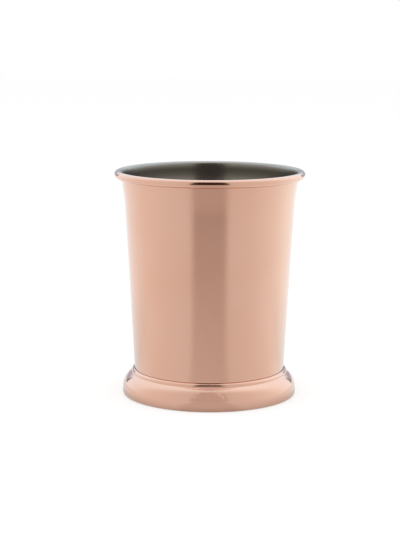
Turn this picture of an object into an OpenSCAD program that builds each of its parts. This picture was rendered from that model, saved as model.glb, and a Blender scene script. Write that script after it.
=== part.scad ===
/* [Cup] */
// Height of the whole cup, from the table to the top of the lip
cup_h = 104; // [98:1:110]
// Outer diameter of the wall at the neck, where it enters the foot
neck_d = 69.4; // [67:0.2:72]
// Outer diameter of the wall at the top of its straight taper
wall_top_d = 78; // [76:0.2:80]
// Height of the mouth, from the end of the straight taper to the top of the lip
mouth_h = 16.5; // [14:0.5:20]
// Radius of the bend between the straight taper and the flared mouth
flare_r = 60; // [40:5:80]
// Angle that the flared mouth leans out from upright, in degrees
flare_angle = 8.6; // [7:0.2:11]
// Thickness of the cup's wall and floor, steel and copper together
wall_t = 0.8; // [0.7:0.05:1]
// Height of the inside floor above the table
floor_h = 6.2; // [5.6:0.1:8]
// Radius of the corner between floor and wall, on the outside
corner_r = 4; // [2.5:0.5:5]

/* [Rolled lip] */
// Diameter of the rolled lip, seen in section
lip_d = 3.6; // [3.2:0.1:4.4]
// Gap between the rolled-in raw edge and the wall
lip_gap = 0.15; // [0.05:0.05:0.3]

/* [Copper plating] */
// Thickness of the copper layer on the outside of the cup
plate_t = 0.2; // [0.1:0.05:0.3]

/* [Foot ring] */
// Height of the foot ring
foot_h = 12.1; // [11.5:0.1:14]
// How far the foot ring stands out from the neck, all round
foot_out = 5.4; // [4.4:0.1:6.8]
// Thickness of the sheet that the ring is spun from
foot_sheet_t = 0.6; // [0.4:0.05:0.8]
// Radius of the small bead round the neck
neck_bead_r = 1.4; // [1.1:0.1:1.8]
// Radius of the large quarter-round moulding below the bead
ovolo_r = 8.3; // [7.5:0.1:9.5]
// Height of the bead and the moulding together, above the upright skirt
moulding_h = 8.9; // [8:0.1:9.5]
// Radius of the ring's lower edge
edge_r = 1; // [0.9:0.1:1.8]
// Width of the hem that is turned in under the ring
hem_w = 3; // [2.4:0.1:4]

/* [Neck seam] */
// Gap between the ring's top edge and the wall
seam_gap = 0.2; // [0.1:0.05:0.3]
// Depth of the open seam above the solder
seam_depth = 0.3; // [0.1:0.05:0.35]
// Leg of the solder fillet under the ring's top
solder_leg = 1.2; // [0.8:0.1:2]

/* [Hidden] */
$fn = 180;

neck_r = neck_d / 2;
wall_top_r = wall_top_d / 2;
wall_top_z = cup_h - mouth_h;
// the wall's lean from upright, in degrees
taper = atan((wall_top_r - neck_r) / (wall_top_z - foot_h));
base_z = floor_h - wall_t;

// a unit direction at an angle above the outward horizontal
function aim(angle) = [cos(angle), sin(angle)];

// centre of the corner between floor and wall
corner_z = base_z + corner_r;
corner_x = neck_r - (foot_h - corner_z) * tan(taper) - corner_r / cos(taper);

// centre of the bend that starts the flare: it lies outside the cup
flare_c = [wall_top_r, wall_top_z] + flare_r * aim(-taper);
// a point of the bend at a lean from upright, on the face moved in by inset
function bend_point(lean, inset) = flare_c + (flare_r + inset) * aim(180 - lean);

// the rolled lip: its centre puts the roll in line with the inside of the flared wall
lip_r = lip_d / 2;
lip_z = cup_h - lip_r;
inside_bend = bend_point(flare_angle, wall_t);
flare_run = (lip_z - inside_bend.y + lip_r * sin(flare_angle)) / cos(flare_angle);
up_wall = aim(90 - flare_angle);
across_wall = aim(-flare_angle);
lip_c = inside_bend + flare_run * up_wall + lip_r * across_wall;
// a point of the flared wall beside the lip's centre
function lip_side(inset) = lip_c - (lip_r - wall_t + inset) * across_wall;
axis_top = lip_c - lip_c.x / cos(flare_angle) * across_wall;
// angle that the roll leaves open between its raw edge and the wall
open_angle = acos((lip_r - wall_t - lip_gap) / (lip_r - plate_t));
// where the wall meets the roll, as an angle round the lip's centre
join_angle = 180 - flare_angle;
// how far the roll's thick bare part runs on into the wall, so that they fuse
lap_angle = open_angle / 4;

foot_r = neck_r + foot_out;
skirt_h = foot_h - moulding_h;
bead_c = [neck_r, foot_h - neck_bead_r];
ovolo_c = [foot_r - ovolo_r, skirt_h];
hem_r = foot_r - hem_w;
// how far a cut runs past what it cuts
overrun = lip_d;

// Half section of everything inside the cup's outer face, moved in by inset.
// It stops at the lip, square to the flared wall, or rise above that.
module cup_region(inset, rise = 0) {
    corner_in = corner_r - inset;
    difference() {
        union() {
            polygon([
                [0, base_z + inset],
                [corner_x, base_z + inset],
                [corner_x, corner_z] + corner_in * aim(-taper),
                bend_point(taper, inset),
                bend_point(flare_angle, inset),
                lip_side(inset) + rise * up_wall,
                axis_top + [0, rise]
            ]);
            translate([corner_x, corner_z]) circle(r = corner_in);
        }
        translate(flare_c) circle(r = flare_r + inset);
    }
}

// Half section of the rolled lip's disc, moved in by inset
module lip_region(inset) {
    translate(lip_c) circle(r = lip_r - inset);
}

// The open side of the roll: a wedge from the wall to the raw edge, clear of the wall itself
module roll_opening() {
    difference() {
        polygon([
            lip_c,
            lip_c + overrun * aim(join_angle),
            lip_c + overrun * aim(join_angle + open_angle / 2),
            lip_c + overrun * aim(join_angle + open_angle)
        ]);
        cup_region(0, overrun);
    }
}

// The drinking side of the lip, from its top round to the wall, where the steel stays bare
module bare_lip() {
    intersection() {
        lip_region(0);
        polygon([
            lip_c,
            lip_c + [0, overrun],
            lip_c + [-overrun, overrun],
            lip_c + overrun * aim(join_angle + lap_angle)
        ]);
    }
}

// Half section of everything inside the foot ring's outer face, moved in by inset
module foot_region(inset) {
    polygon([
        [0, inset],
        [foot_r - edge_r, inset],
        [foot_r - inset, edge_r],
        [foot_r - inset, skirt_h],
        bead_c,
        [bead_c.x, foot_h - inset],
        [0, foot_h - inset]
    ]);
    translate(bead_c) circle(r = neck_bead_r - inset);
    translate([foot_r - edge_r, edge_r]) circle(r = edge_r - inset);
    intersection() {
        translate(ovolo_c) circle(r = ovolo_r - inset);
        translate(ovolo_c) square(ovolo_r);
    }
}

// Drawn steel cup: floor, tapered wall, flared mouth and hollow rolled lip
module cup_body() {
    color("silver")
    rotate_extrude()
    difference() {
        union() {
            cup_region(plate_t);
            lip_region(plate_t);
            bare_lip();
        }
        cup_region(wall_t, overrun);
        lip_region(wall_t);
        roll_opening();
    }
}

// Copper layer over the outside, from the top of the lip down and under the floor
module copper_plating() {
    color("#E0AE93")
    rotate_extrude()
    difference() {
        union() {
            cup_region(0);
            lip_region(0);
        }
        cup_region(plate_t, overrun);
        lip_region(plate_t);
        bare_lip();
    }
}

// Spun ring under the cup: neck bead, quarter-round moulding, skirt and turned-in hem
module foot_ring() {
    color("#D9A58A")
    rotate_extrude()
    difference() {
        foot_region(0);
        foot_region(foot_sheet_t);
        translate([0, -overrun]) square([hem_r, foot_sheet_t + overrun]);
        cup_region(-seam_gap);
    }
}

// Solder that holds the ring: a fillet under the ring's top and a tongue up the seam
module neck_solder() {
    color("gray")
    rotate_extrude()
    intersection() {
        difference() {
            union() {
                foot_region(foot_sheet_t);
                cup_region(-seam_gap);
            }
            cup_region(0);
        }
        polygon([
            [neck_r - solder_leg, foot_h - seam_depth],
            [neck_r + solder_leg, foot_h - seam_depth],
            [neck_r + solder_leg, foot_h - foot_sheet_t],
            [neck_r - solder_leg, foot_h - foot_sheet_t - 2 * solder_leg]
        ]);
    }
}

cup_body();
copper_plating();
foot_ring();
neck_solder();
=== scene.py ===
# %% [markdown]
# This lesson dresses a julep cup: a flared beaker of steel with a skin of
# polished copper, standing on a hollow copper foot. The shapes come ready made
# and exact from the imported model, so none of them is modelled again here. What
# is left is what the eye reads as metal: the finish of each surface, and the
# pale room that a mirror finish shows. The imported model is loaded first, and
# its box is kept so that the size can be compared at the end.

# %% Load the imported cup
import math
import bpy
from mathutils import Matrix, Vector


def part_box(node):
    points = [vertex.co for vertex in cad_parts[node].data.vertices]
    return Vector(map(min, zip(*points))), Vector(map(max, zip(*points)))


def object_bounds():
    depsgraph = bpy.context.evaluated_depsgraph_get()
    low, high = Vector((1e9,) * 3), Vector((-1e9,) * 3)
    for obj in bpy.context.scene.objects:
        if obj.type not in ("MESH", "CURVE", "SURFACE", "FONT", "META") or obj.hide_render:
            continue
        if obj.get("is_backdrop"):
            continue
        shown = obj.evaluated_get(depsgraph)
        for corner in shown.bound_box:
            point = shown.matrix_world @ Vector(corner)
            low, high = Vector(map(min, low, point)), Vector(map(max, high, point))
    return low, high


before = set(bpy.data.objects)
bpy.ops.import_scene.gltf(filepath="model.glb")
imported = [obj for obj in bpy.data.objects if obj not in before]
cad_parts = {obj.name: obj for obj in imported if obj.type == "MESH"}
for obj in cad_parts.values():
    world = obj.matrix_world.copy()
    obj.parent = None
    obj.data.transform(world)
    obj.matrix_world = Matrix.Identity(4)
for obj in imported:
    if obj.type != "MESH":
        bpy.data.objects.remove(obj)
CAD_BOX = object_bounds()
print("pieces:", ", ".join(sorted(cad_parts)))

# %% [markdown]
# Blender works in metres, and a cup is easier to think about in millimetres,
# so every length below is a count of MM. The cup stands at the origin on the
# level z = 0. The sizes that the stage needs are read from the boxes of the
# pieces, so the stage still fits if the cup is made larger.

# %% Sizes to work from
MM = 0.001
CUP_TOP = CAD_BOX[1].z
FOOT_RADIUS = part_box("foot_ring")[1].x
FOOT_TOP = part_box("foot_ring")[1].z
print("cup %.1f mm high, foot %.1f mm across" % (CUP_TOP / MM, 2 * FOOT_RADIUS / MM))

# %% [markdown]
# Two small helpers carry the whole lesson. Colours are written as the hex
# values that a paint program shows, which are sRGB, and shaders want linear
# light, so one function turns the first into the second. The other adds a
# node to a material, gives it its settings and joins its sockets. A third
# only saves the few lines with which every new material starts.

# %% Helpers


def linear(hex_code):
    """An sRGB colour such as FBC6AC as linear red, green, blue and alpha."""
    shares = [int(hex_code[i:i + 2], 16) / 255 for i in (0, 2, 4)]
    bent = [s / 12.92 if s <= 0.04045 else ((s + 0.055) / 1.055) ** 2.4 for s in shares]
    return (*bent, 1.0)


def add(tree, kind, joins=None, sockets=None, **settings):
    """A new node: its own settings, fixed values by socket, and sockets joined to others."""
    node = tree.nodes.new(kind)
    for name, value in settings.items():
        setattr(node, name, value)
    for name, value in (sockets or {}).items():
        node.inputs[name].default_value = value
    for name, source in (joins or {}).items():
        tree.links.new(source, node.inputs[name])
    return node


def new_material(name):
    """An empty material with its node tree and its output."""
    material = bpy.data.materials.new(name)
    material.use_nodes = True
    tree = material.node_tree
    tree.nodes.clear()
    return material, tree, add(tree, "ShaderNodeOutputMaterial")


print("a mid grey of 808080 is %.3f in linear light" % linear("808080")[0])

# %% [markdown]
# Every turned and buffed piece has one thing in common: fine lines round its
# axis. On a wall they follow the height and on a floor the distance from the
# middle, so a noise pattern that is laid along the sum of both serves
# everywhere. It is drawn out lengthwise until its grains become lines. A noise
# pattern hardly leaves the middle of its range, so only that part is used.

# %% Turning lines
DRAWN_OUT = (0.04, 0.04, 1.0)
NOISE_LOW = 0.3
NOISE_HIGH = 0.7
LINE_STRENGTH = 0.02
LINE_DEPTH = 0.05 * MM


def distance_from_axis(tree, place):
    """How far a place lies from the cup's upright axis."""
    flat = add(tree, "ShaderNodeVectorMath", {0: place}, {1: (1, 1, 0)}, operation="MULTIPLY")
    return add(tree, "ShaderNodeVectorMath", {0: flat.outputs[0]}, operation="LENGTH").outputs["Value"]


def turning_lines(tree, place, width, detail):
    """Fine uneven lines that run round the cup's axis, on upright and on flat faces."""
    shares = add(tree, "ShaderNodeSeparateXYZ", {"Vector": place})
    across = add(tree, "ShaderNodeMath", {0: shares.outputs["Z"], 1: distance_from_axis(tree, place)},
                 operation="ADD")
    spot = add(tree, "ShaderNodeCombineXYZ",
               {"X": shares.outputs["X"], "Y": shares.outputs["Y"], "Z": across.outputs[0]})
    drawn_out = add(tree, "ShaderNodeMapping", {"Vector": spot.outputs[0]}, {"Scale": DRAWN_OUT})
    return add(tree, "ShaderNodeTexNoise", {"Vector": drawn_out.outputs[0]},
               {"Scale": 1 / width, "Detail": detail}).outputs["Fac"]


print("lines are drawn out %.0f times" % (1 / DRAWN_OUT[0]))

# %% [markdown]
# The camera stands where the photographer stood. A cup is photographed from
# some way off with a long lens, so that its sides stay nearly parallel, and
# from a little above, so that the rim opens into a slim ellipse. The distance,
# the height and the lens were worked out from how the two ellipses, at the rim
# and at the foot, open by different amounts. The cup stands a touch right of
# the middle and below it, so the camera is turned by those few pixels instead
# of shifting its lens, and other views stay centred.

# %% Camera
PHOTO_WIDTH = 400
PHOTO_HEIGHT = 534
AIM_PX = (209.6, 281.9)
FOCAL_PX = 1634.0
SENSOR = 36.0
EYE = Vector((0, -745.4 * MM, 182.9 * MM))
AIM = Vector((0, 0, 52 * MM))
ROLL = 0.0034

camera_data = bpy.data.cameras.new("camera")
camera_data.sensor_width = SENSOR
camera_data.lens = FOCAL_PX / PHOTO_HEIGHT * SENSOR
camera = bpy.data.objects.new("camera", camera_data)
bpy.context.scene.collection.objects.link(camera)
bpy.context.scene.camera = camera

turn_left = math.atan((AIM_PX[0] - PHOTO_WIDTH / 2) / FOCAL_PX)
turn_up = math.atan((AIM_PX[1] - PHOTO_HEIGHT / 2) / FOCAL_PX)
look_down = math.atan2(EYE.z - AIM.z, AIM.y - EYE.y) - turn_up
camera.matrix_world = (
    Matrix.Translation(EYE)
    @ Matrix.Rotation(turn_left, 4, "Z")
    @ Matrix.Rotation(math.pi / 2 - look_down, 4, "X")
    @ Matrix.Rotation(ROLL, 4, "Z")
)
print("lens %.1f mm, looking %.2f degrees down" % (camera_data.lens, math.degrees(look_down)))

# %% [markdown]
# The skin of the cup is copper, laid on the steel in a bath and then buffed on
# a felt wheel until it works as a mirror. Its colour is nearly even. Air leaves
# a warm cloud here and there, so a soft noise mixes in a shade of orange. In a
# thin ring in the corner under the lip, set by its height, the copper is
# painted browner: this is painted shade for that crease.

# %% Colour of the copper
COPPER = "FBC6AC"
CLOUDED_COPPER = "F5B999"
CLOUD = 30 * MM
CLOUD_FROM = 0.45
CLOUD_FULL = 0.75
CLOUD_MOST = 0.35
CREASE_SHADE_COPPER = "DCA98F"
CORNER_HEIGHT = CUP_TOP - 3.5 * MM
CORNER_HALF = 0.7 * MM

copper, tree, output = new_material("polished_copper")
place = add(tree, "ShaderNodeTexCoord").outputs["Object"]
clouds = add(tree, "ShaderNodeTexNoise", {"Vector": place}, {"Scale": 1 / CLOUD, "Detail": 4.0})
cloud_share = add(tree, "ShaderNodeMapRange", {"Value": clouds.outputs["Fac"]},
                  {"From Min": CLOUD_FROM, "From Max": CLOUD_FULL, "To Max": CLOUD_MOST})
colour = add(tree, "ShaderNodeMix", {"Factor": cloud_share.outputs[0]},
             {"A": linear(COPPER), "B": linear(CLOUDED_COPPER)}, data_type="RGBA")
height = add(tree, "ShaderNodeSeparateXYZ", {"Vector": place}).outputs["Z"]
# Painted shade: a thin ring at the corner under the lip is mixed towards a browner copper, standing in for
# the shade in that crease.
above_corner = add(tree, "ShaderNodeMath", {0: height}, {1: CORNER_HEIGHT}, operation="SUBTRACT")
off_corner = add(tree, "ShaderNodeMath", {0: above_corner.outputs[0]}, operation="ABSOLUTE")
painted_crease_shade = add(tree, "ShaderNodeMapRange", {"Value": off_corner.outputs[0]},
                   {"From Max": CORNER_HALF, "To Min": 1.0, "To Max": 0.0},
                   interpolation_type="SMOOTHSTEP")
colours_and_painted_shade = add(tree, "ShaderNodeMix",
                  {"Factor": painted_crease_shade.outputs[0], "A": colour.outputs["Result"]},
                  {"B": linear(CREASE_SHADE_COPPER)}, data_type="RGBA")
print("browner copper at %.1f mm up" % (CORNER_HEIGHT / MM))

# %% [markdown]
# Bare copper is a metal, so the metallic value is 1 and the IOR stays as it is.
# What makes it look real is what the wheel leaves: faint lines round the cup
# and a sheen that is never quite even, with the soft smudges of hands. The
# wheel's lines are finer than a pixel on the real cup, so they are drawn
# coarser here. Such cups get a thin clear lacquer, or the copper would turn
# brown within weeks. The lacquer is a coat of IOR 1.5. It hardly shows from the
# front, and it turns the cup's outer edges pale, where it is seen along the
# surface. In the ring of painted shade under the lip the coat is left off,
# which makes that painted shade deeper.

# %% Polish and lacquer
BUFFING_LINE = 0.5 * MM
COPPER_ROUGHNESS = (0.10, 0.16)
SMUDGE = 14 * MM
SMUDGE_FROM = 0.5
SMUDGE_FULL = 0.7
SMUDGE_ROUGHNESS = 0.04
LACQUER_IOR = 1.5
LACQUER_ROUGHNESS = 0.04

lines = turning_lines(tree, place, width=BUFFING_LINE, detail=3.0)
smudges = add(tree, "ShaderNodeTexNoise", {"Vector": place}, {"Scale": 1 / SMUDGE, "Detail": 2.0})
smudge_share = add(tree, "ShaderNodeMapRange", {"Value": smudges.outputs["Fac"]},
                   {"From Min": SMUDGE_FROM, "From Max": SMUDGE_FULL, "To Max": SMUDGE_ROUGHNESS})
sheen = add(tree, "ShaderNodeMapRange", {"Value": lines},
            {"From Min": NOISE_LOW, "From Max": NOISE_HIGH,
             "To Min": COPPER_ROUGHNESS[0], "To Max": COPPER_ROUGHNESS[1]})
roughness = add(tree, "ShaderNodeMath", {0: sheen.outputs[0], 1: smudge_share.outputs[0]}, operation="ADD")
relief = add(tree, "ShaderNodeBump", {"Height": lines},
             {"Strength": LINE_STRENGTH, "Distance": LINE_DEPTH})
# The coat is left off in the ring of painted shade, which darkens it further.
lacquer_share = add(tree, "ShaderNodeMath", {1: painted_crease_shade.outputs[0]}, {0: 1.0}, operation="SUBTRACT")
metal = add(tree, "ShaderNodeBsdfPrincipled",
            {"Base Color": colours_and_painted_shade.outputs["Result"], "Roughness": roughness.outputs[0],
             "Normal": relief.outputs[0], "Coat Weight": lacquer_share.outputs[0]},
            {"Metallic": 1.0, "Coat IOR": LACQUER_IOR, "Coat Roughness": LACQUER_ROUGHNESS})
tree.links.new(metal.outputs[0], output.inputs["Surface"])
print("copper with %d nodes" % len(tree.nodes))

# %% [markdown]
# Inside, the cup is bare stainless steel. It is drawn from a flat disc and
# could be brushed while it spins, which leaves the steel satin, with fine lines
# round the wall. Its grey carries painted light and shade: a painted highlight
# on the edge that is drunk from, a band of painted shade just under the lip,
# and a lighter grey again deeper down. The grey is set by the height, from a
# list of stops that are shares of a band under the top, so it stays put when
# the cup is turned. A satin face also scatters a little of the light it gets,
# so a small share of a dull grey is mixed into the metal.

# %% Satin steel inside
STEEL_BAND = 16 * MM
# Painted light and shade by height: each stop is a grey for a share of the band under the top, lightest at
# the edge that is drunk from and darkest just under the lip.
STEEL_PAINTED_SHADE_STOPS = [(0.0, "A09A8E"), (0.48, "9A9288"), (0.6, "6B655B"), (0.72, "4B463C"),
               (0.79, "4B463C"), (0.85, "6A655C"), (0.92, "9A958D"), (1.0, "C8C2BA")]
SCATTER = "8A8178"
SCATTER_SHARE = 0.15
STEEL_ROUGHNESS = (0.20, 0.28)
BRUSHED_LINE = 0.4 * MM

steel, tree, output = new_material("satin_steel")
place = add(tree, "ShaderNodeTexCoord").outputs["Object"]
lines = turning_lines(tree, place, width=BRUSHED_LINE, detail=4.0)
height = add(tree, "ShaderNodeSeparateXYZ", {"Vector": place}).outputs["Z"]
height_share = add(tree, "ShaderNodeMapRange", {"Value": height},
                   {"From Min": CUP_TOP - STEEL_BAND, "From Max": CUP_TOP})
painted_greys = add(tree, "ShaderNodeValToRGB", {"Fac": height_share.outputs[0]})
while len(painted_greys.color_ramp.elements) < len(STEEL_PAINTED_SHADE_STOPS):
    painted_greys.color_ramp.elements.new(0.5)
for element, (share, grey) in zip(painted_greys.color_ramp.elements, STEEL_PAINTED_SHADE_STOPS):
    element.position = share
    element.color = linear(grey)
sheen = add(tree, "ShaderNodeMapRange", {"Value": lines},
            {"From Min": NOISE_LOW, "From Max": NOISE_HIGH,
             "To Min": STEEL_ROUGHNESS[0], "To Max": STEEL_ROUGHNESS[1]})
relief = add(tree, "ShaderNodeBump", {"Height": lines},
             {"Strength": LINE_STRENGTH, "Distance": LINE_DEPTH})
metal = add(tree, "ShaderNodeBsdfPrincipled",
            {"Base Color": painted_greys.outputs[0], "Roughness": sheen.outputs[0], "Normal": relief.outputs[0]},
            {"Metallic": 1.0})
scatter = add(tree, "ShaderNodeBsdfDiffuse", {"Normal": relief.outputs[0]}, {"Color": linear(SCATTER)})
satin = add(tree, "ShaderNodeMixShader", {1: metal.outputs[0], 2: scatter.outputs[0]},
            {0: SCATTER_SHARE})
tree.links.new(satin.outputs[0], output.inputs["Surface"])
print("steel with %d nodes" % len(tree.nodes))

# %% [markdown]
# The foot is soldered to the cup from the inside. Tin solder is bright when it
# sets and goes dull grey within days, and its surface is grainy because it was
# wiped while still soft. Little of it can be seen: a thin grey line in the
# seam round the neck, and a band when the cup is turned over.

# %% Dull solder
SOLDER = "7C7976"
SOLDER_GRAIN = 0.8 * MM
SOLDER_ROUGHNESS = (0.45, 0.65)
GRAIN_STRENGTH = 0.2
GRAIN_DEPTH = 0.1 * MM

solder, tree, output = new_material("dull_solder")
place = add(tree, "ShaderNodeTexCoord").outputs["Object"]
grain = add(tree, "ShaderNodeTexNoise", {"Vector": place}, {"Scale": 1 / SOLDER_GRAIN, "Detail": 3.0})
sheen = add(tree, "ShaderNodeMapRange", {"Value": grain.outputs["Fac"]},
            {"To Min": SOLDER_ROUGHNESS[0], "To Max": SOLDER_ROUGHNESS[1]})
relief = add(tree, "ShaderNodeBump", {"Height": grain.outputs["Fac"]},
             {"Strength": GRAIN_STRENGTH, "Distance": GRAIN_DEPTH})
metal = add(tree, "ShaderNodeBsdfPrincipled",
            {"Roughness": sheen.outputs[0], "Normal": relief.outputs[0]},
            {"Metallic": 1.0, "Base Color": linear(SOLDER)})
tree.links.new(metal.outputs[0], output.inputs["Surface"])
print("solder with %d nodes" % len(tree.nodes))

# %% [markdown]
# Each piece gets its finish through its own material slots, and the meshes
# stay as they came. The foot is spun from sheet copper and buffed together
# with the cup, so it wears the same finish.

# %% Put the finishes on the pieces
FINISHES = {"cup_body": steel, "copper_plating": copper, "foot_ring": copper, "neck_solder": solder}
for piece, finish in FINISHES.items():
    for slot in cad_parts[piece].material_slots:
        slot.material = finish
    print(piece, "wears", finish.name)

# %% [markdown]
# A mirror finish has no look of its own: it shows the room. A round cup
# gathers the whole room into stripes from edge to edge. The room is given as
# light by direction, in degrees round the cup, where 0 is towards the camera
# and positive is to its right. It is white behind the cup and greyer towards
# the camera, where the photographer stood and the lamps don't reach, and the
# right side has a little more light. A narrow part straight ahead is darker
# still. It gives the cup its brown middle stripe.

# %% Light by direction
ROOM_STOPS = [(-180, "FFFFFF"), (-120, "ECF0F2"), (-90, "E3E3E3"), (-55, "DADADA"), (-30, "D5D5D5"),
              (30, "D4D4D4"), (55, "DADADA"), (90, "E8ECEE"), (120, "F6FFFF"), (180, "FFFFFF")]
STRIPE_CORE = math.radians(16)
STRIPE_EDGE = math.radians(28)


def azimuth_round_cup(tree, vector):
    """The angle round the cup of a place or a direction, and its three shares."""
    shares = add(tree, "ShaderNodeSeparateXYZ", {"Vector": vector})
    toward = add(tree, "ShaderNodeMath", {0: shares.outputs["Y"]}, {1: -1.0}, operation="MULTIPLY")
    angle = add(tree, "ShaderNodeMath", {0: shares.outputs["X"], 1: toward.outputs[0]},
                operation="ARCTAN2")
    return angle.outputs[0], shares


def room_light(tree, angle):
    """The room's colour at an angle round the cup."""
    share = add(tree, "ShaderNodeMapRange", {"Value": angle},
                {"From Min": -math.pi, "From Max": math.pi})
    ramp = add(tree, "ShaderNodeValToRGB", {"Fac": share.outputs[0]})
    elements = ramp.color_ramp.elements
    while len(elements) < len(ROOM_STOPS):
        elements.new(0.5)
    for element, (degrees, colour) in zip(elements, ROOM_STOPS):
        element.position = (degrees + 180) / 360
        element.color = linear(colour)
    return ramp.outputs[0]


def stripe_share(tree, angle):
    """1 straight ahead of the cup, falling softly to 0 at both edges of the stripe."""
    off_middle = add(tree, "ShaderNodeMath", {0: angle}, operation="ABSOLUTE")
    share = add(tree, "ShaderNodeMapRange", {"Value": off_middle.outputs[0]},
                {"From Min": STRIPE_CORE, "From Max": STRIPE_EDGE, "To Min": 1.0, "To Max": 0.0},
                interpolation_type="SMOOTHSTEP")
    return share.outputs[0]


print("room light from %d stops" % len(ROOM_STOPS))

# %% [markdown]
# The cup's wall leans outwards, so it mirrors nothing but the table top, and
# the table needs the most care. To the metal it has the light of the room, with
# three shades laid over it. The stripe straight ahead gets darker and warmer
# with distance. Close round the foot, where the cup keeps the light away, the
# table is darker, and behind the cup this shade reaches further out. Under the
# cup all this passes into one plain tone towards the middle, which the cup's
# copper floor mirrors.

# %% The table as the metal sees it
STRIPE_SHADE = "D3CAC6"
STRIPE_NEAR = 80 * MM
STRIPE_FAR = 350 * MM
STRIPE_NEAR_SHARE = 0.49
FOOT_SHADE = 0.75
FOOT_SHADE_WIDTH = 12 * MM
BACK_SHADE = 0.86
BACK_SHADE_WIDTH = 220 * MM
UNDER_CUP = "E0E0E0"

table, tree, output = new_material("white_table")
geometry = add(tree, "ShaderNodeNewGeometry")
angle, shares = azimuth_round_cup(tree, geometry.outputs["Position"])
distance = distance_from_axis(tree, geometry.outputs["Position"])

depth = add(tree, "ShaderNodeMapRange", {"Value": distance},
            {"From Min": STRIPE_NEAR, "From Max": STRIPE_FAR, "To Min": STRIPE_NEAR_SHARE})
stripe = add(tree, "ShaderNodeMath", {0: stripe_share(tree, angle), 1: depth.outputs[0]},
             operation="MULTIPLY")
stripe_tone = add(tree, "ShaderNodeMix", {"Factor": stripe.outputs[0]},
                  {"A": (1, 1, 1, 1), "B": linear(STRIPE_SHADE)}, data_type="RGBA")
foot_tone = add(tree, "ShaderNodeMapRange", {"Value": distance},
                {"From Min": FOOT_RADIUS, "From Max": FOOT_RADIUS + FOOT_SHADE_WIDTH,
                 "To Min": FOOT_SHADE}, interpolation_type="SMOOTHSTEP")
back_tone = add(tree, "ShaderNodeMapRange", {"Value": distance},
                {"From Min": FOOT_RADIUS, "From Max": FOOT_RADIUS + BACK_SHADE_WIDTH,
                 "To Min": BACK_SHADE})
behind = add(tree, "ShaderNodeMapRange", {"Value": shares.outputs["Y"]}, {"From Max": FOOT_RADIUS},
             interpolation_type="SMOOTHSTEP")
back_part = add(tree, "ShaderNodeMix", {0: behind.outputs[0], "B": back_tone.outputs[0]}, {"A": 1.0})
both_tones = add(tree, "ShaderNodeMath", {0: foot_tone.outputs[0], 1: back_part.outputs[0]},
                 operation="MULTIPLY")

striped = add(tree, "ShaderNodeVectorMath", {0: room_light(tree, angle), 1: stripe_tone.outputs["Result"]},
              operation="MULTIPLY")
outside = add(tree, "ShaderNodeMapRange", {"Value": distance}, {"From Max": FOOT_RADIUS},
              interpolation_type="SMOOTHSTEP")
all_round = add(tree, "ShaderNodeMix", {"Factor": outside.outputs[0], "B": striped.outputs[0]},
                {"A": linear(UNDER_CUP)}, data_type="RGBA")
shaded = add(tree, "ShaderNodeVectorMath",
             {0: all_round.outputs["Result"], "Scale": both_tones.outputs[0]}, operation="SCALE")
mirrored = add(tree, "ShaderNodeEmission", {"Color": shaded.outputs[0]})
print("table shades with %d nodes" % len(tree.nodes))

# %% [markdown]
# To the camera the table is plain white card with the cup's own soft shadow.
# Half of its white is lit and half is its own, so that the shadow stays faint.
# A light path node tells what kind of ray is asking, and one that comes from a
# mirror finish or through glass gets the shades from above. From below the
# table is clear, so that the underside of the cup can be looked at.

# %% The table as the camera sees it
TABLE_WHITE = "FDFDFD"
OWN_WHITE_SHARE = 0.5


def mirrored_only(tree, seen, mirrored):
    """One shader for what is seen straight, and another for what metal and glass show of it."""
    path = add(tree, "ShaderNodeLightPath")
    by_metal = add(tree, "ShaderNodeMath",
                   {0: path.outputs["Is Glossy Ray"], 1: path.outputs["Is Transmission Ray"]},
                   operation="MAXIMUM")
    both = add(tree, "ShaderNodeMixShader", {0: by_metal.outputs[0], 1: seen, 2: mirrored})
    return both.outputs[0]


card_white = add(tree, "ShaderNodeBsdfDiffuse", sockets={"Color": linear(TABLE_WHITE)})
plain_white = add(tree, "ShaderNodeEmission")
seen = add(tree, "ShaderNodeMixShader", {1: card_white.outputs[0], 2: plain_white.outputs[0]},
           {0: OWN_WHITE_SHARE})
top_side = mirrored_only(tree, seen.outputs[0], mirrored.outputs[0])
clear = add(tree, "ShaderNodeBsdfTransparent")
whole = add(tree, "ShaderNodeMixShader",
            {0: geometry.outputs["Backfacing"], 1: top_side, 2: clear.outputs[0]})
tree.links.new(whole.outputs[0], output.inputs["Surface"])
print("table with %d nodes" % len(tree.nodes))

# %% [markdown]
# The table top is one large flat sheet. It is marked as a piece of the stage,
# because it isn't part of the cup, and so are the cards further down.

# %% Lay the table
TABLE_HALF = 3000 * MM


def stage_piece(name, corners, faces, material):
    """A thin sheet that belongs to the stage and not to the cup."""
    mesh = bpy.data.meshes.new(name)
    mesh.from_pydata(corners, [], faces)
    mesh.materials.append(material)
    sheet = bpy.data.objects.new(name, mesh)
    bpy.context.scene.collection.objects.link(sheet)
    sheet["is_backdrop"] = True
    return sheet


stage_piece("table", [(-TABLE_HALF, -TABLE_HALF, 0), (TABLE_HALF, -TABLE_HALF, 0),
                      (TABLE_HALF, TABLE_HALF, 0), (-TABLE_HALF, TABLE_HALF, 0)], [(0, 1, 2, 3)], table)
print("table %.0f m wide" % (2 * TABLE_HALF))

# %% [markdown]
# The lip and the foot are round in section as well, so they mirror the room
# upwards too. Above the table the room has the same light by direction, and a
# large pale cloth hangs over the cup and behind it. It is brighter than the
# rest, a little cool, and brightest on the right. It gives the lip its white
# upper edge and the foot its bright shoulder. To the camera and to the table
# the room is plain white.

# %% The room above the table
CLOTH = "E6F4FF"
CLOTH_LEFT = 1.12
CLOTH_RIGHT = 1.26
CLOTH_STARTS = 0.2
CLOTH_FULL = 0.95
RISE_WEIGHT = 0.78
ROOM_STRIPE = "EFECEB"

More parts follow.
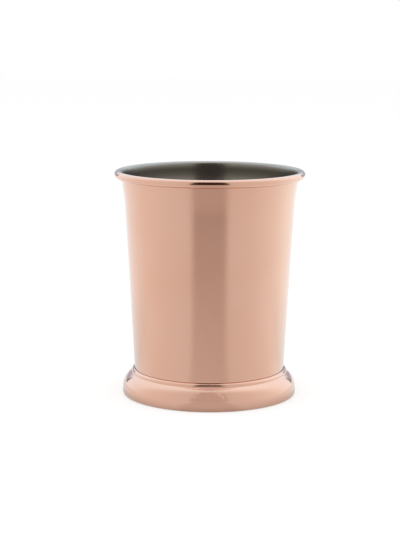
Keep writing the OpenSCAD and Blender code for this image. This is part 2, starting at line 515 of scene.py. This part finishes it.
world = bpy.data.worlds.new("white_room")
bpy.context.scene.world = world
world.use_nodes = True
sky = world.node_tree
sky.nodes.clear()
direction = add(sky, "ShaderNodeTexCoord").outputs["Generated"]
angle, shares = azimuth_round_cup(sky, direction)
stripe_tone = add(sky, "ShaderNodeMix", {"Factor": stripe_share(sky, angle)},
                  {"A": (1, 1, 1, 1), "B": linear(ROOM_STRIPE)}, data_type="RGBA")
low_room = add(sky, "ShaderNodeVectorMath", {0: room_light(sky, angle), 1: stripe_tone.outputs["Result"]},
               operation="MULTIPLY")
up_and_back = add(sky, "ShaderNodeMath", {0: shares.outputs["Z"], 2: shares.outputs["Y"]},
                  {1: RISE_WEIGHT}, operation="MULTIPLY_ADD")
cloth_share = add(sky, "ShaderNodeMapRange", {"Value": up_and_back.outputs[0]},
                  {"From Min": CLOTH_STARTS, "From Max": CLOTH_FULL}, interpolation_type="SMOOTHSTEP")
cloth_light = add(sky, "ShaderNodeMapRange", {"Value": shares.outputs["X"]},
                  {"From Min": -1.0, "To Min": CLOTH_LEFT, "To Max": CLOTH_RIGHT})
cloth = add(sky, "ShaderNodeVectorMath", {"Scale": cloth_light.outputs[0]}, {0: linear(CLOTH)[:3]},
            operation="SCALE")
room = add(sky, "ShaderNodeMix", {"Factor": cloth_share.outputs[0], "A": low_room.outputs[0],
                                  "B": cloth.outputs[0]}, data_type="RGBA")
mirrored_room = add(sky, "ShaderNodeBackground", {"Color": room.outputs["Result"]})
plain_room = add(sky, "ShaderNodeBackground", sockets={"Color": (1, 1, 1, 1)})
add(sky, "ShaderNodeOutputWorld",
    {"Surface": mirrored_only(sky, plain_room.outputs[0], mirrored_room.outputs[0])})
print("world with %d nodes" % len(sky.nodes))

# %% [markdown]
# Photographers put black cards round shiny things, because without something
# dark to mirror, metal looks like plaster. One black card stands in front,
# where a real one would have a hole for the lens. It gives the lip and the
# foot's small bead a short black streak, and the inside of the cup its dark
# stripe. A card is seen by the metal alone: the camera and the table don't see
# it. It fades out at the top, by a value called cover that is kept at each of
# its corners, so it leaves no hard line on the metal.

# %% Black card in front
BLACK_CARD = "35211D"
FRONT_Y = -350 * MM
FRONT_HALF = 137 * MM
FRONT_LOW = 28 * MM
FRONT_SOLID = 690 * MM
FRONT_TOP = 700 * MM


def card_finish(name, colour):
    """A plain tone in any light; it lets the light through where the card's cover is low."""
    material, tree, output = new_material(name)
    cover = add(tree, "ShaderNodeAttribute", attribute_name="cover").outputs["Fac"]
    tone = add(tree, "ShaderNodeEmission", sockets={"Color": linear(colour)})
    nothing = add(tree, "ShaderNodeBsdfTransparent")
    both = add(tree, "ShaderNodeMixShader", {0: cover, 1: nothing.outputs[0], 2: tone.outputs[0]})
    tree.links.new(both.outputs[0], output.inputs["Surface"])
    return material


def upright_card(name, middle, half, heights, y, colour):
    """A card across the view; it is solid up to the second height and fades out at the third."""
    corners = [(middle + side * half, y, z) for z in heights for side in (-1, 1)]
    card = stage_piece(name, corners, [(0, 1, 3, 2), (2, 3, 5, 4)], card_finish(name, colour))
    cover = card.data.attributes.new("cover", "FLOAT", "POINT")
    cover.data.foreach_set("value", [1, 1, 1, 1, 0, 0])
    card.visible_camera = False
    card.visible_diffuse = False
    card.visible_transmission = False
    card.visible_shadow = False


upright_card("front_black_card", 0, FRONT_HALF, (FRONT_LOW, FRONT_SOLID, FRONT_TOP), FRONT_Y,
             BLACK_CARD)
print("front card covers %.0f degrees" % math.degrees(2 * math.atan(FRONT_HALF / -FRONT_Y)))

# %% [markdown]
# A grey card stands far behind the cup, with a narrow black edge on either
# side. It darkens the far ends of the lip and the foot. It is large, so its
# width and its heights are given by the angles under which the cup sees them.

# %% Grey card behind
GREY_CARD = "B4B7C4"
BLACK_EDGE = "3F3C38"
BACK_Y = 1500 * MM
BACK_HALF = BACK_Y * math.tan(math.radians(33))
BACK_SOLID = BACK_Y * math.tan(math.radians(12))
BACK_TOP = BACK_Y * math.tan(math.radians(23))
EDGE_HALF = 60 * MM
EDGE_GAP = 60 * MM

upright_card("back_grey_card", 0, BACK_HALF, (0, BACK_SOLID, BACK_TOP), BACK_Y, GREY_CARD)
for name, middle in (("left_black_edge", -BACK_HALF), ("right_black_edge", BACK_HALF)):
    upright_card(name, middle, EDGE_HALF, (0, BACK_SOLID, BACK_TOP), BACK_Y - EDGE_GAP, BLACK_EDGE)
print("grey card %.1f m wide" % (2 * BACK_HALF))

# %% [markdown]
# An overhead lamp lights the table and gives the cup its faint shadow. It is an
# area lamp, because that is what a softbox is, and the metal doesn't see it.

# %% Overhead lamp
OVERHEAD_HALF = 300 * MM
OVERHEAD_HEIGHT = 900 * MM
OVERHEAD_Y = -100 * MM
OVERHEAD_WATTS = 3.0


def area_lamp(name, width, length, watts, colour):
    """A rectangular lamp that the camera doesn't see."""
    lamp_data = bpy.data.lights.new(name, "AREA")
    lamp_data.shape = "RECTANGLE"
    lamp_data.size = width
    lamp_data.size_y = length
    lamp_data.energy = watts
    lamp_data.color = linear(colour)[:3]
    lamp = bpy.data.objects.new(name, lamp_data)
    lamp.visible_camera = False
    bpy.context.scene.collection.objects.link(lamp)
    return lamp


overhead = area_lamp("overhead", 2 * OVERHEAD_HALF, 2 * OVERHEAD_HALF, OVERHEAD_WATTS, "FFFFFF")
overhead.location = (0, OVERHEAD_Y, OVERHEAD_HEIGHT)
overhead.visible_glossy = False
print("overhead lamp of %.1f W" % overhead.data.energy)

# %% [markdown]
# The foot's moulding bulges to the front, so the black card would show on it
# as a large dark patch, and the photograph has none there. The small bead above
# it does have the card's streak. A low fill lamp, laid flat in front of the
# foot at the height of the bead, does both: the moulding looks up into it, and
# the bead looks out over it. Light linking, a lamp's own list of what it may
# light, keeps it off the rest. A weak second fill in front of the card lifts
# the foot's darkest reflections a little. What the metal shows of a lamp is
# the brightness of its face, so that is the value given here, where 1 is
# white, and the watts are worked out from it and the lamp's size.

# %% Fill lamps for the foot
FILL_WHITE = "FFFBFB"
FILL_LEVEL = 0.43
FILL_HEIGHT = FOOT_TOP - 1.15 * MM
FILL_NEAR = FOOT_RADIUS - 3 * MM
FILL_FAR = 126 * MM
FILL_HALF = 50 * MM
CARD_FILL_LEVEL = 0.06
CARD_FILL_GAP = 5 * MM


def face_watts(level, width, length):
    """The watts that give a lamp's face a level, where 1 is white."""
    return level * math.pi * width * length


foot_only = bpy.data.collections.new("foot_only")
foot_only.objects.link(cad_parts["foot_ring"])

fill_length = FILL_FAR - FILL_NEAR
fill = area_lamp("foot_fill", 2 * FILL_HALF, fill_length,
                 face_watts(FILL_LEVEL, 2 * FILL_HALF, fill_length), FILL_WHITE)
fill.location = (0, -(FILL_FAR + FILL_NEAR) / 2, FILL_HEIGHT)
fill.light_linking.receiver_collection = foot_only

card_height = FRONT_TOP - FRONT_LOW
card_fill = area_lamp("card_fill", 2 * FRONT_HALF, card_height,
                      face_watts(CARD_FILL_LEVEL, 2 * FRONT_HALF, card_height), FILL_WHITE)
card_fill.location = (0, FRONT_Y + CARD_FILL_GAP, (FRONT_TOP + FRONT_LOW) / 2)
card_fill.rotation_euler = (math.radians(90), 0, 0)
card_fill.light_linking.receiver_collection = foot_only
print("fill lamps of %.3f W and %.3f W" % (fill.data.energy, card_fill.data.energy))

# %% [markdown]
# Seen in the moulding, the low lamp must cover the black card and no more, or
# it would leave a bright rim. So its face is masked, as a photographer masks a
# softbox with tape. It starts above the foot's front edge and not further in,
# because the top of the moulding looks over the card. To the sides it opens
# with the distance from the foot: on either side two straight edges, each with
# a half width at the foot's front and an opening for every millimetre further
# out, follow the card's side closely. The edges are soft, and inside them the
# lamp has one plain even level.

# %% Mask of the low fill lamp
FILL_START = FOOT_RADIUS - 0.85 * MM
FILL_SIDES = [(6.4 * MM, 0.83), (7.5 * MM, 0.43)]
FILL_SOFT = 0.6 * MM

fill.data.use_nodes = True
tree = fill.data.node_tree
tree.nodes.clear()
place = add(tree, "ShaderNodeNewGeometry").outputs["Position"]
shares = add(tree, "ShaderNodeSeparateXYZ", {"Vector": place})
off_middle = add(tree, "ShaderNodeMath", {0: shares.outputs["X"]}, operation="ABSOLUTE")
ahead = add(tree, "ShaderNodeMath", {0: shares.outputs["Y"]}, {1: -1.0, 2: -FOOT_RADIUS},
            operation="MULTIPLY_ADD")
mask = add(tree, "ShaderNodeMapRange", {"Value": distance_from_axis(tree, place)},
           {"From Min": FILL_START, "From Max": FILL_START + FILL_SOFT / 2}).outputs[0]
for half, opening in FILL_SIDES:
    side = add(tree, "ShaderNodeMath", {0: ahead.outputs[0]}, {1: opening, 2: half},
               operation="MULTIPLY_ADD")
    inside = add(tree, "ShaderNodeMath", {0: side.outputs[0], 1: off_middle.outputs[0]},
                 operation="SUBTRACT")
    share = add(tree, "ShaderNodeMapRange", {"Value": inside.outputs[0]},
                {"From Min": -FILL_SOFT / 2, "From Max": FILL_SOFT / 2})
    mask = add(tree, "ShaderNodeMath", {0: mask, 1: share.outputs[0]}, operation="MULTIPLY").outputs[0]
shine = add(tree, "ShaderNodeEmission", {"Strength": mask})
add(tree, "ShaderNodeOutputLight", {"Surface": shine.outputs[0]})
print("mask with %d nodes" % len(tree.nodes))

# %% [markdown]
# The picture is shown as plain sRGB, with no film curve laid over the colours
# above. Last, the size before and after dressing is written down: the two
# boxes must agree, because looks never move the metal.

# %% Colours and the last look at the size
bpy.context.scene.view_settings.view_transform = "Standard"
VISUAL_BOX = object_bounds()
moved = max((after - before).length for before, after in zip(CAD_BOX, VISUAL_BOX))
print("box before and after differs by %.4f mm" % (moved / MM))
